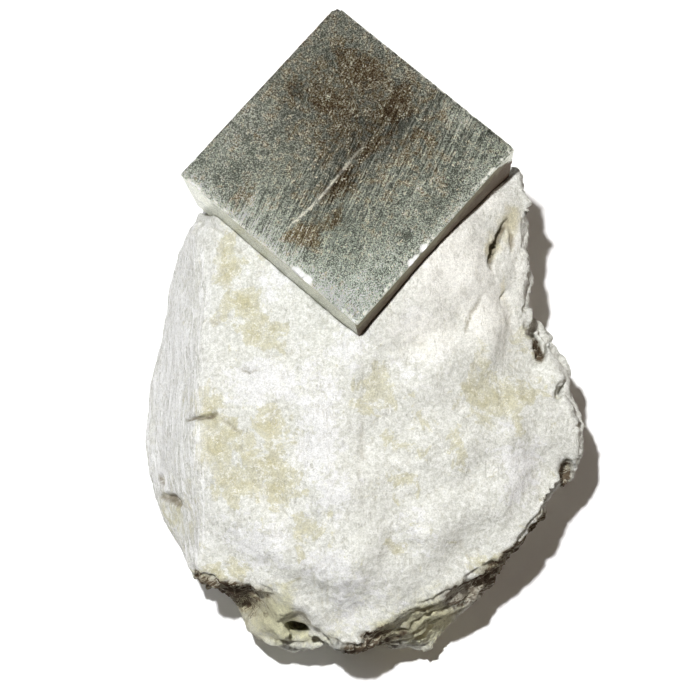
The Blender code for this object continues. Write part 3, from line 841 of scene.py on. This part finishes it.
def shape_crystal():
    """The crystal's mesh, and where its points lay before the faces were worked."""
    flat, faces = crystal_lattice()
    points = chipped(worn(grown(flat)), CHIPS + BRIGHT_CHIPS)
    points = chipped(points, small_chips())
    inner = ease(CUBE_HALF - np.abs(flat[:, :2]).max(axis=1), 0.1, 0.7)
    points[:, 2] += (flat[:, 2] > CUBE_HALF - 0.01) * inner * top_relief(flat)
    # Faint level lines and a grain on the sides.
    lined = 0.02 * ridged(flat * (0.1, 0.1, 1), 0.6, 141, 2)
    lined += 0.015 * fractal(flat, 1.2, 145, 2)
    for axis in (0, 1):
        side = (np.abs(flat[:, axis]) > CUBE_HALF - 0.01) & (flat[:, 2] < CUBE_HALF - 0.4)
        points[side, axis] += np.sign(flat[side, axis]) * lined[side]
    mesh = bpy.data.meshes.new("pyrite_crystal")
    mesh.from_pydata(points * MM, [], faces)
    return mesh, flat


def make_crystal(finish):
    mesh, flat = shape_crystal()
    top = flat[:, 2] > CUBE_HALF - 0.4
    swayed = wandering(flat, 2.5, 0.8, 151)
    for name, zones in (("stain", STAIN_ZONES), ("dark", DARK_ZONES), ("pale", PALE_ZONES)):
        paint(mesh, name, zone_strength(swayed, zones) * top)
    # Painted sheen: towards its front corner the top face is made lighter and greener.
    low = ease(flat[:, 0], -4, 15) + ease(flat[:, 1], -2, 15)
    paint(mesh, "lower", 0.5 * low * top)
    paint(mesh, "streaky", streaky(flat) * top)
    # Painted reflection, partly tarnish: the top face's colour scaled zone by zone.
    level = np.full(len(flat), SHINE_LEVEL)
    for x, y, wide, long, amount in SHINE_ZONES:
        level += amount * np.exp(-zone_apart(swayed, (x, y), (wide, long)) ** 2)
    paint(mesh, "level", np.where(top, level, 1))
    side = 1 - ease(flat[:, 2], CUBE_HALF - 0.5, CUBE_HALF - 0.2)
    paint(mesh, "side", side)
    # The front right side is painted dull and dark, partly a coat and partly painted shade, up
    # to a clean facet by the right-hand corner.
    swayed = wandering(flat, 1.2, 0.35, 155)
    coat_and_shade = side * ease(flat[:, 1], CUBE_HALF - 0.6, CUBE_HALF - 0.3)
    clean = ease(-swayed[:, 0] + 0.8 * (flat[:, 2] - CUBE_HALF), 11.9, 12.5)
    paint(mesh, "coat_and_shade", coat_and_shade * (1 - clean))
    paint(mesh, "sunk", ease(CUBE_HALF - flat[:, 2], 0.8, 4.5))
    paint(mesh, "ridge", top * line_share(flat, LINE_PAINT_WIDTH))
    # Painted highlights: pale dots along the top face's front edges, fainter on its back edge.
    front = ease(flat[:, :2].max(axis=1), CUBE_HALF - 0.65, CUBE_HALF - 0.4)
    back = ease(-flat[:, 0], CUBE_HALF - 0.4, CUBE_HALF - 0.2)
    paint(mesh, "edge", top * np.maximum(front, 0.75 * back))
    bright = np.zeros(len(flat))
    for place, radius in BRIGHT_CHIPS:
        apart = norms(flat - place)
        bright = np.maximum(bright, 1 - ease(apart, radius * 0.9, radius * 1.15))
    paint(mesh, "bright", bright)
    mesh.shade_smooth()
    mesh.materials.append(finish)
    piece = object_from("pyrite_crystal", mesh)
    piece.matrix_world = cube_frame()
    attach(piece, "root")
    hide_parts("pyrite_cube")


# Materials


class Nodes:
    """A short way to write a node tree, of a material, a light or the world."""

    def __init__(self, owner, shader="Principled BSDF"):
        owner.use_nodes = True
        self.owner, self.tree = owner, owner.node_tree
        self.shader = self.tree.nodes[shader]

    def __getitem__(self, name):
        """The value that is painted on the mesh under this name."""
        return self.make("ShaderNodeAttribute", {"attribute_name": name}).outputs["Fac"]

    def put(self, socket, value):
        """Feeds the socket from another node, or sets it. A tuple is a colour."""
        if isinstance(value, bpy.types.NodeSocket):
            self.tree.links.new(value, socket)
        else:
            socket.default_value = (*value, 1) if isinstance(value, tuple) else value

    def fill(self, node, **inputs):
        """Sets the inputs by name, where _ stands for a blank."""
        for name, value in inputs.items():
            self.put(node.inputs[name.replace("_", " ")], value)
        return node

    def make(self, kind, settings=None, **inputs):
        node = self.tree.nodes.new(kind)
        for name, value in (settings or {}).items():
            setattr(node, name, value)
        return self.fill(node, **inputs)

    def math(self, operation, first, second=0):
        node = self.make("ShaderNodeMath", {"operation": operation})
        self.put(node.inputs[0], first)
        self.put(node.inputs[1], second)
        return node.outputs[0]

    def plus(self, *parts):
        """Sum of numbers and of (value, factor) pairs, where 0.5 of a value counts as none."""
        total = None
        for part in parts:
            if isinstance(part, tuple):
                value, factor = part
                part = self.math("MULTIPLY", self.math("SUBTRACT", value, 0.5), factor)
            total = part if total is None else self.math("ADD", total, part)
        return total

    def times(self, first, second):
        return self.math("MULTIPLY", first, second)

    def ramp(self, value, low, high, start=0, end=1):
        limits = {"From_Min": low, "From_Max": high, "To_Min": start, "To_Max": end}
        curve = {"interpolation_type": "SMOOTHSTEP"}
        return self.make("ShaderNodeMapRange", curve, Value=value, **limits).outputs[0]

    def mix(self, share, first, second, blend="MIX"):
        node = self.make("ShaderNodeMix", {"data_type": "RGBA", "blend_type": blend})
        for index, value in ((0, share), (6, first), (7, second)):  # 6 and 7 take colours
            self.put(node.inputs[index], value)
        return node.outputs[2]

    def scaled(self, colour, factor):
        """The colour made lighter or darker by a factor from the nodes."""
        mode = {"operation": "SCALE"}
        return self.make("ShaderNodeVectorMath", mode, Vector=colour, Scale=factor).outputs[0]

    def place(self, stretch=(1, 1, 1), turn=0):
        """The object's own coordinates in millimetres, turned about z, then stretched."""
        source = self.make("ShaderNodeTexCoord").outputs["Object"]
        axis = {"rotation_type": "Z_AXIS"}
        turned = self.make("ShaderNodeVectorRotate", axis, Vector=source, Angle=turn)
        mode = {"operation": "MULTIPLY"}
        node = self.make("ShaderNodeVectorMath", mode, Vector=turned.outputs[0])
        node.inputs[1].default_value = [share / MM for share in stretch]
        return node.outputs[0]

    def noise(self, place, size, detail, rough, warp=0):
        kind = {"Scale": 1 / size, "Detail": detail, "Roughness": rough, "Distortion": warp}
        return self.make("ShaderNodeTexNoise", Vector=place, **kind).outputs["Fac"]

    def lines(self, value, width):
        """Thin lines where the value passes through one half."""
        apart = self.math("ABSOLUTE", self.math("SUBTRACT", value, 0.5))
        return self.ramp(apart, 0, width, 1, 0)

    def patchy(self, name, low, high, most, *ragged):
        """A painted zone, its edges made ragged by (value, factor) pairs."""
        return self.ramp(self.plus(self[name], *ragged), low, high, 0, most)

    def bump(self, height, depth, after=None):
        """depth is the height in millimetres that a step of 1 stands for."""
        node = self.make("ShaderNodeBump", Strength=1, Distance=depth * MM, Height=height)
        if after is not None:
            self.put(node.inputs["Normal"], after)
        return node.outputs["Normal"]


# Colours, as linear red, green and blue.
MARL = {
    "pale": (0.705, 0.71, 0.645), "light": (0.79, 0.795, 0.75), "tan": (0.645, 0.63, 0.495),
    "deep tan": (0.575, 0.542, 0.36), "chalk": (0.86, 0.863, 0.85),
    "pale scratch": (0.93, 0.93, 0.90), "dull scratch": (0.62, 0.625, 0.58),
    "lamina": (0.95, 0.955, 0.94), "seam": (0.46, 0.455, 0.40), "painted_light": (0.97, 0.962, 0.90),
    "grey": (0.60, 0.61, 0.57), "rust": (0.60, 0.54, 0.31), "wall": (0.46, 0.43, 0.31),
    "stroke": (0.56, 0.54, 0.44), "hollow_dust_and_shade": (0.38, 0.33, 0.23), "nook_dust_and_shade": (0.50, 0.48, 0.38),
    "olive": (0.62, 0.605, 0.41), "brown": (0.40, 0.36, 0.24), "umber_and_shade": (0.125, 0.092, 0.06),
    "crack_shade": (0.20, 0.165, 0.11),
}
PYRITE = {
    "dark brown": (0.075, 0.046, 0.026), "brown": (0.36, 0.29, 0.175),
    "dark green": (0.098, 0.100, 0.080), "green": (0.425, 0.44, 0.365),
    "rubbed": (0.69, 0.70, 0.575), "front tint": (0.82, 0.99, 1.0), "spark": (0.86, 0.82, 0.64),
    "line": (0.92, 0.90, 0.76), "edge": (0.90, 0.90, 0.82), "coat_and_shade": (0.26, 0.235, 0.14),
    "coat foot": (0.135, 0.092, 0.052), "new chip": (0.96, 0.97, 0.95),
}


def marl_finish():
    """Chalky rock. In each pair below a noise comes with its share in the sum."""
    n = Nodes(bpy.data.materials.new("marl_finish"))
    place = n.place()
    along = n.place((1, 0.3, 1))
    broad = n.noise(place, 9, 3, 0.6)
    blotch = n.noise(place, 3, 8, 0.68, 0.5)
    powder = n.noise(place, 1.3, 8, 0.74, 0.4)
    crumb = n.noise(place, 0.55, 4, 0.7, 0.3)
    grain = n.noise(place, 0.2, 3, 0.7)
    strokes = n.lines(n.noise(along, 1.1, 3, 0.6, 1.2), 0.045)
    strokes = n.times(strokes, n.ramp(n.noise(place, 1.7, 3, 0.6), 0.45, 0.6))
    scratch = n.lines(n.noise(place, 0.8, 2, 0.5, 1.6), 0.05)
    scratch = n.times(scratch, n.ramp(n.noise(place, 1.1, 2, 0.6), 0.42, 0.58))
    # Tan stained rock, with chalky powder lying on it in sharp-edged patches.
    tan = n.plus(n["tan"], (blotch, 3), (powder, 1.1), (broad, 0.6))
    white = n.plus(n["chalk"], (powder, 2.8), (blotch, -1.4), (broad, 0.8))
    white = n.ramp(n.plus(white, n.times(n["tan"], -0.25)), 0.42, 0.52)
    pale = n.mix(n.ramp(crumb, 0.35, 0.65), MARL["pale"], MARL["light"])
    tans = n.mix(n.ramp(tan, 0.65, 1.25), MARL["tan"], MARL["deep tan"])
    colour = n.mix(n.ramp(tan, 0.42, 0.60), pale, tans)
    # Fine laminae of the left-hand slope, seen edge on. The slope is painted paler as a whole:
    # partly its chalky laminae, partly painted light.
    left = n["left"]
    laminae = n.noise(n.place((1, 0.10, 0.8)), 0.75, 4, 0.65, 0.5)
    seams = n.times(n.lines(laminae, 0.04), n.ramp(n.noise(along, 1.4, 3, 0.6), 0.40, 0.52))
    # Dark broken rock with painted shade below the rims and in the holes, with paler ridges.
    laid = n.noise(n.place((0.25, 1, 1.2), -0.35), 1.3, 4, 0.6, 0.5)
    ridge = n.ramp(n.lines(laid, 0.06), 0.2, 0.9, 1, 0.5)
    umber_and_shade = n.plus(n.times(n["umber_and_shade"], ridge), (powder, 1.2), (laid, 1))
    for share, tint in (
        (white, "chalk"),
        (n.times(scratch, n.ramp(white, 0, 1, 0.75, 0)), "pale scratch"),
        (n.times(scratch, n.ramp(white, 0, 1, 0, 0.75)), "dull scratch"),
        # Partly laminae, partly painted light on the left-hand slope.
        (n.times(left, n.ramp(n.plus(0.7, (laminae, 2.2)), 0.3, 1)), "lamina"),
        (n.times(left, n.times(seams, 0.8)), "seam"),
        # Painted light on the rock to the right of the crystal.
        (n.patchy("painted_light", 0.1, 0.9, 0.9, (powder, 1)), "painted_light"),
        (n.patchy("grey", 0.3, 0.9, 0.3, (powder, 1.4)), "grey"),
        (n.patchy("rust", 0.25, 0.9, 0.6, (powder, 1.2)), "rust"),
        (n.patchy("wall", 0.5, 1.3, 0.75, (blotch, 1.6), (crumb, 0.8)), "wall"),
        (n.times(strokes, 0.35), "stroke"),
        # Hollows and nooks painted darker: partly dust, partly painted shade.
        (n.patchy("hollow_dust_and_shade", 0.08, 0.50, 0.6), "hollow_dust_and_shade"),
        (n.patchy("nook_dust_and_shade", 0.01, 0.09, 0.3), "nook_dust_and_shade"),
        (n.patchy("olive", 0.1, 0.8, 0.95, (blotch, 1), (crumb, 0.8)), "olive"),
        # Dark rock with painted shade below the rims and in the holes.
        (n.times(n["umber_and_shade"], 0.75), "brown"),
        (n.ramp(umber_and_shade, 0.3, 0.85), "umber_and_shade"),
        # Painted shade in the cracks.
        (n.times(n["crack_shade"], 0.8), "crack_shade"),
    ):
        colour = n.mix(share, colour, MARL[tint])
    shade = n.ramp(n.plus(0.5, (crumb, 1.6), (grain, 2.6)), 0, 1, 0.79, 1.10)
    colour = n.scaled(colour, shade)
    relief = n.bump(n.plus(0.5, (powder, 1), (blotch, 0.6)), 0.18)
    relief = n.bump(n.plus(0.5, (crumb, 1), (grain, 0.4)), 0.13, relief)
    relief = n.bump(strokes, -0.04, relief)
    n.fill(n.shader, Base_Color=colour, Roughness=0.95, Specular_IOR_Level=0.2, Normal=relief)
    return n.owner


def pyrite_finish():
    n = Nodes(bpy.data.materials.new("pyrite_finish"))
    place = n.place()
    cloud = n.noise(place, 5, 5, 0.6, 0.3)
    mottle = n.noise(place, 2.2, 4, 0.6, 0.4)
    blot = n.noise(place, 0.95, 3, 0.6, 0.3)
    speck = n.noise(place, 0.28, 2, 0.6)
    dust = n.noise(place, 0.14, 1, 0.5)
    drawn = n.noise(n.place((0.055, 1, 1), -STREAK_TURN), 0.21, 2, 0.6, 0.2)
    wide = n.noise(n.place((0.10, 1, 1), -STREAK_TURN), 0.9, 2, 0.6, 0.2)
    lower, side, streaky = n["lower"], n["side"], n["streaky"]
    ridge, bright = n["ridge"], n["bright"]
    grainy = n.ramp(streaky, 0, 1, 1, 0.72)
    # Tone runs from brown-black tarnish at 0 to a pale, freshly rubbed face at 1.
    # The lower term in it lightens the front of the top face as painted sheen.
    tone = n.plus(
        0.47, (cloud, 0.6), (mottle, 1), (blot, 1.2),
        n.times(grainy, n.plus(0, (speck, 1.7), (dust, 2.5))),
        n.times(streaky, n.plus(0, (drawn, 2.3), (wide, 0.6))),
        n.times(lower, 0.12), n.times(n["pale"], 0.26), n.times(n["stain"], -0.12),
        n.times(n["dark"], -0.45), n.times(side, 0.36),
    )
    depth = n.ramp(tone, 0, 0.8)
    brown = n.mix(depth, PYRITE["dark brown"], PYRITE["brown"])
    green = n.mix(depth, PYRITE["dark green"], PYRITE["green"])
    tarnish = n.ramp(n.plus(n["stain"], (mottle, 2), (blot, 2)), 0.12, 0.75)
    colour = n.scaled(n.mix(tarnish, green, brown), n.ramp(tarnish, 0, 1, 1, 0.80))
    colour = n.mix(n.ramp(tone, 0.7, 1.2), colour, PYRITE["rubbed"])
    # Painted sheen: the front of the top face tinted greener.
    colour = n.mix(n.times(lower, 0.5), colour, PYRITE["front tint"], "MULTIPLY")
    # Painted reflection, partly tarnish: the top face made lighter or darker zone by zone.
    colour = n.scaled(colour, n["level"])
    # Painted glints: pale, less metallic specks that the lamps light like facets catching it.
    spark = n.plus(0.5, (n.noise(place, 0.25, 0, 0.5), 1), (blot, 0.8))
    spark = n.times(n.ramp(spark, 0.735, 0.785), n.math("SUBTRACT", 1, side))
    ridge = n.times(ridge, n.ramp(n.plus(0.5, (blot, 1.4), (speck, 1)), 0.30, 0.50, 0.35, 1))
    # Painted highlights along the edges of the top face.
    edge_glints = n.times(n["edge"], n.ramp(n.noise(place, 0.45, 2, 0.6), 0.48, 0.58))
    # The side that leans over the marl is painted dull brown, partly a coat and partly painted
    # shade, and darker towards its foot as painted shade.
    sunk = n.ramp(n.plus(n["sunk"], (mottle, 1.6), (blot, 1.2)), 0, 1)
    coat_and_shade_colour = n.mix(sunk, PYRITE["coat_and_shade"], PYRITE["coat foot"])
    coat_and_shade = n["coat_and_shade"]
    for share, tint in (
        (spark, PYRITE["spark"]), (ridge, PYRITE["line"]), (edge_glints, PYRITE["edge"]),
        (coat_and_shade, coat_and_shade_colour), (bright, PYRITE["new chip"]),
    ):
        colour = n.mix(share, colour, tint)
    # What is powdery, coated, or painted as glints and edge highlights is less metallic.
    dull = bright
    for share, most in ((coat_and_shade, 0.85), (spark, 0.7), (ridge, 0.75), (edge_glints, 0.8)):
        dull = n.math("MAXIMUM", dull, n.times(share, most))
    metal = n.math("SUBTRACT", 1, dull)
    rough = n.ramp(n.plus(0.5, (mottle, 1), (speck, 0.8)), 0.1, 0.9, 0.40, 0.58)
    rough = n.plus(rough, n.times(side, -0.30), n.times(coat_and_shade, 0.5))
    relief = n.bump(n.plus(0.5, (speck, 1), (dust, 0.8)), 0.07)
    relief = n.bump(n.times(streaky, drawn), 0.03, relief)
    n.fill(n.shader, Base_Color=colour, Metallic=metal, Roughness=rough, Normal=relief)
    return n.owner


# Stage


def make_floor():
    corners = [(x * FLOOR_HALF * MM, y * FLOOR_HALF * MM, 0) for x, y in FLOOR_CORNERS]
    mesh = bpy.data.meshes.new("floor")
    mesh.from_pydata(corners, [], [(0, 1, 2, 3)])
    floor = object_from("floor", mesh)
    floor.location.z = -FLOOR_DROP * MM
    n = Nodes(bpy.data.materials.new("paper"))
    n.fill(n.shader, Base_Color=FLOOR_COLOUR, Roughness=1, Specular_IOR_Level=0)
    mesh.materials.append(n.owner)


def make_camera():
    lens = bpy.data.cameras.new("camera")
    lens.sensor_width = SENSOR_MM
    lens.lens = SENSOR_MM * CAMERA_FOCAL / FRAME_PIXELS
    lens.clip_start = 0.01
    camera = object_from("camera", lens)
    camera.location = (np.array(CAMERA_PLACE) + SPECIMEN_SHIFT) * MM
    camera.rotation_euler = (math.radians(CAMERA_TILT), 0, 0)
    bpy.context.scene.camera = camera


def make_lights():
    # Rough surfaces take the whole of the key light, and glossy ones a softer share of it.
    for name, (place, level, radius, tint) in LAMPS.items():
        flash = bpy.data.lights.new(name, "POINT")
        flash.shadow_soft_size = radius * MM
        flash.energy = level * 4 * math.pi**2
        flash.color = tint
        # The same strength at any distance, so that paper and rock are lit alike.
        n = Nodes(flash, "Emission")
        even = n.make("ShaderNodeLightFalloff", Strength=1)
        n.fill(n.shader, Strength=even.outputs["Constant"])
        lamp = object_from(name, flash)
        lamp.location = (np.array(place) + SPECIMEN_SHIFT) * MM
        lamp.visible_glossy, lamp.visible_diffuse = name == "glint", name != "glint"
    lamp = bpy.data.lights.new("card", "AREA")
    lamp.shape, lamp.size, lamp.size_y = "RECTANGLE", CARD_SIZE[0] * MM, CARD_SIZE[1] * MM
    lamp.energy = CARD_RADIANCE * math.pi * lamp.size * lamp.size_y
    card = object_from("card", lamp)
    card.location = (np.array(CARD_PLACE) + SPECIMEN_SHIFT) * MM
    card.visible_diffuse = card.visible_camera = False
    # Only the camera sees the backdrop, and only the dim room lights the scene.
    n = Nodes(bpy.data.worlds.new("room"), "Background")
    dim = n.fill(n.shader, Color=ROOM_TINT, Strength=ROOM_LIGHT).outputs[0]
    backdrop = n.make("ShaderNodeBackground", Color=WHITE).outputs[0]
    seen = n.make("ShaderNodeLightPath").outputs["Is Camera Ray"]
    mixed = n.make("ShaderNodeMixShader")
    for socket, value in zip(mixed.inputs, (seen, dim, backdrop)):
        n.put(socket, value)
    n.fill(n.tree.nodes["World Output"], Surface=mixed.outputs[0])
    bpy.context.scene.world = n.owner


make_camera()
make_lights()
make_floor()
make_block(marl_finish())
make_crystal(pyrite_finish())
bpy.context.scene.view_settings.view_transform = "Standard"
